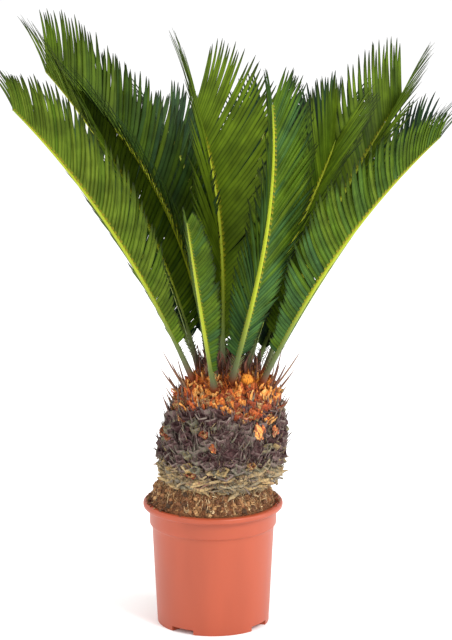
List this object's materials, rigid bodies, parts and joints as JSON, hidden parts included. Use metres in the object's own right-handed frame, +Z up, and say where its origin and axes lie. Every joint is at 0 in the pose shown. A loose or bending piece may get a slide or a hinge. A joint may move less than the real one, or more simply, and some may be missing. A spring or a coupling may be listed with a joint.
{
  "type": "sago palm in its pot",
  "caption": "Sago palm with a squat scaly trunk and a vase-shaped crown of stiff arching fronds, growing in a round tapered nursery pot.",
  "frame": {"origin": "centre of the pot's flat underside, where it stands on the floor", "axes": "+Z up along the pot's axis, +X to the right and +Y to the back as seen from the front of the plant"},
  "size_m": [0.6259, 0.7467, 0.8208],
  "materials": {
    "pot_plastic": "thin moulded plastic in terracotta orange, satin, with faint mould lines",
    "potting_soil": "loose brown coir and bark mix, rough, no shine",
    "trunk": "rough grey-brown trunk of old leaf bases, rust-coloured wool near the crown",
    "frond_leaf": "stiff glossy green leaf, greener and duller underneath, yellow-green rib"
  },
  "bodies": {
    "root": {"pot": "pot_plastic", "soil": "potting_soil", "trunk": "trunk", "frond_left_inner": "frond_leaf", "frond_front_left": "frond_leaf", "frond_left_tall": "frond_leaf", "frond_centre_tall": "frond_leaf", "frond_front_centre": "frond_leaf", "frond_front_right": "frond_leaf", "frond_right_tall": "frond_leaf", "frond_right_inner": "frond_leaf", "frond_front_low": "frond_leaf", "frond_back_left_inner": "frond_leaf", "frond_back_inner": "frond_leaf", "frond_back_right_inner": "frond_leaf", "frond_right_outer": "frond_leaf", "frond_back_1": "frond_leaf", "frond_back_2": "frond_leaf", "frond_back_3": "frond_leaf", "frond_back_4": "frond_leaf", "frond_back_5": "frond_leaf"}
  },
  "joints": []
}
